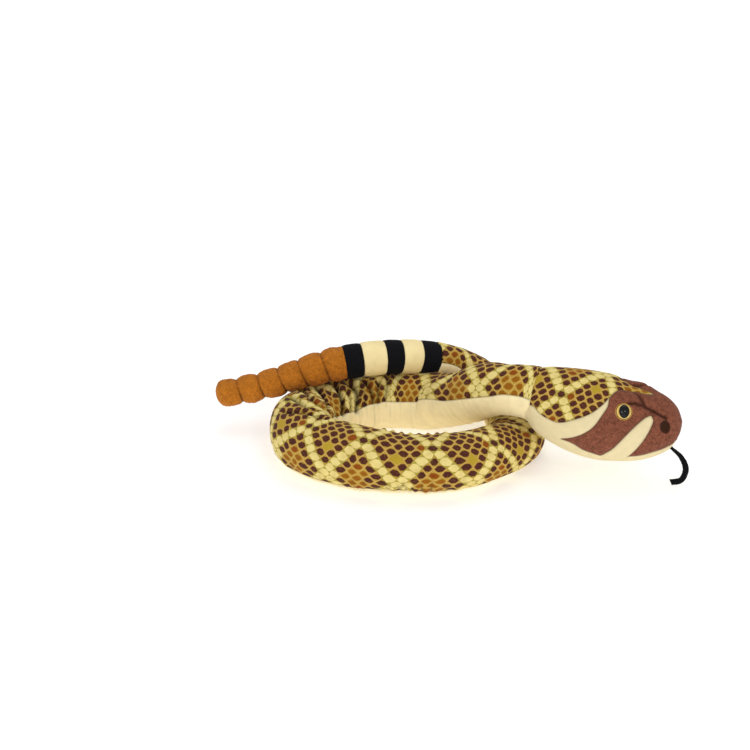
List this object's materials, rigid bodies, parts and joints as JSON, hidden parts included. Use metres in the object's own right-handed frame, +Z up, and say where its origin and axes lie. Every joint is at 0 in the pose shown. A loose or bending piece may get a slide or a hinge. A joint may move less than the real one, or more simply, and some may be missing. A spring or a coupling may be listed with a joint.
{
  "type": "plush toy rattlesnake",
  "caption": "Life-size stuffed plush rattlesnake in a flat coil: printed body, brown head laid over the coil, glossy eyes, felt tongue, banded tail and fleece rattle.",
  "frame": {"origin": "middle of the whole toy's box, on the floor that it lies on", "axes": "+X towards the head's end, +Y towards the banded tail's side, +Z up"},
  "size_m": [0.5514, 0.2586, 0.1265],
  "materials": {
    "printed_plush": "short smooth pile with a printed scale pattern",
    "brown_plush": "short brushed pile",
    "cream_plush": "short smooth pile",
    "black_plush": "short smooth pile",
    "rattle_fleece": "fuzzy fleece",
    "eye_plastic": "glossy moulded dome",
    "black_felt": "matte felt"
  },
  "bodies": {
    "root": {"head": "brown_plush", "eye_right": "eye_plastic", "eye_left": "eye_plastic", "tongue": "black_felt", "neck": "printed_plush", "body_1": "printed_plush", "body_2": "printed_plush", "body_3": "printed_plush", "body_4": "printed_plush", "body_5": "printed_plush", "body_6": "printed_plush", "body_7": "printed_plush", "body_8": "printed_plush", "tail_band_1": "black_plush", "tail_band_2": "cream_plush", "tail_band_3": "black_plush", "tail_band_4": "cream_plush", "tail_band_5": "black_plush", "rattle_1": "rattle_fleece", "rattle_2": "rattle_fleece", "rattle_3": "rattle_fleece", "rattle_4": "rattle_fleece", "rattle_5": "rattle_fleece", "rattle_6": "rattle_fleece"}
  },
  "joints": []
}
